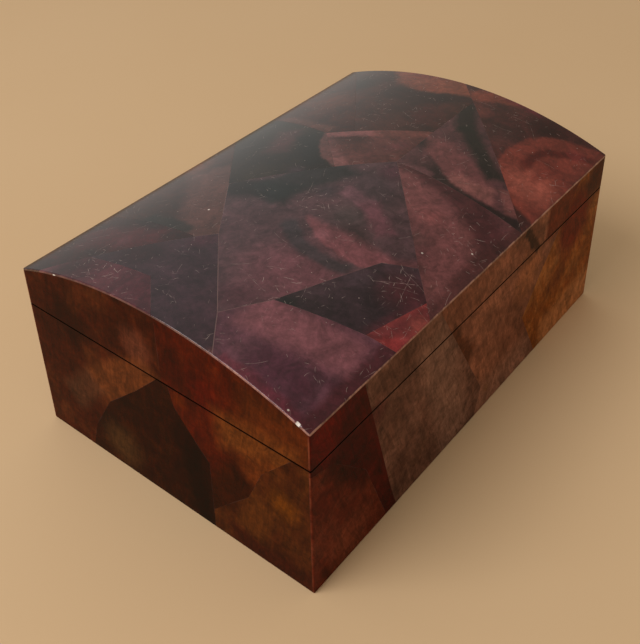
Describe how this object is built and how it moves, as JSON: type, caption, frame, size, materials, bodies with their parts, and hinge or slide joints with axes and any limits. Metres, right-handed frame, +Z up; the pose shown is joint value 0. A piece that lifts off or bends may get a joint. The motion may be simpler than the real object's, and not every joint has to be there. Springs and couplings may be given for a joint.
{
  "type": "shell veneered box",
  "caption": "Hollow table box with an arched lift-off lid, veneered all over in irregular pieces of dyed shell under gloss lacquer.",
  "frame": {"origin": "middle of the underside, on the surface the box stands on", "axes": "+X along the box to its right end, +Y from the front to the back, +Z up"},
  "size_m": [0.3, 0.2, 0.131],
  "materials": {
    "case_wood": "plain, unvarnished",
    "shell_top": "burgundy dyed shell with dark and pink growth bands under worn, finely scratched gloss lacquer",
    "shell_side": "red-brown dyed shell under gloss lacquer",
    "shell_end": "amber and olive-brown dyed shell under gloss lacquer"
  },
  "bodies": {
    "root": {"body_case": "case_wood", "lid_case": "case_wood", "shell_back_body_left": "shell_side", "shell_back_body_middle_left": "shell_side", "shell_back_body_middle_right": "shell_side", "shell_back_body_right": "shell_side", "shell_back_lid_left": "shell_side", "shell_back_lid_middle_left": "shell_side", "shell_back_lid_middle_right": "shell_side", "shell_front_body_band": "shell_side", "shell_front_body_left": "shell_side", "shell_front_body_middle_left": "shell_side", "shell_front_body_middle_right": "shell_side", "shell_front_body_right": "shell_side", "shell_front_lid_band": "shell_side", "shell_front_lid_middle_left": "shell_side", "shell_front_lid_middle_right": "shell_side", "shell_front_lid_right": "shell_side", "shell_left_body_back": "shell_end", "shell_left_body_bell": "shell_end", "shell_left_body_front": "shell_end", "shell_left_body_middle": "shell_end", "shell_left_lid_back": "shell_end", "shell_left_lid_middle": "shell_end", "shell_right_body_back": "shell_end", "shell_right_body_foot": "shell_end", "shell_right_body_front": "shell_end", "shell_right_body_middle": "shell_end", "shell_right_lid_back": "shell_end", "shell_right_lid_middle": "shell_end", "shell_top_back_left_corner": "shell_top", "shell_top_back_middle": "shell_top", "shell_top_back_right_corner": "shell_top", "shell_top_back_strip": "shell_top", "shell_top_blade": "shell_top", "shell_top_centre": "shell_top", "shell_top_dark_kite": "shell_top", "shell_top_fan": "shell_top", "shell_top_front_left_corner": "shell_top", "shell_top_front_middle": "shell_top", "shell_top_front_right_corner": "shell_top", "shell_top_left": "shell_top", "shell_top_left_patch": "shell_top", "shell_top_red_wedge": "shell_top", "shell_top_right": "shell_top"}
  },
  "joints": []
}
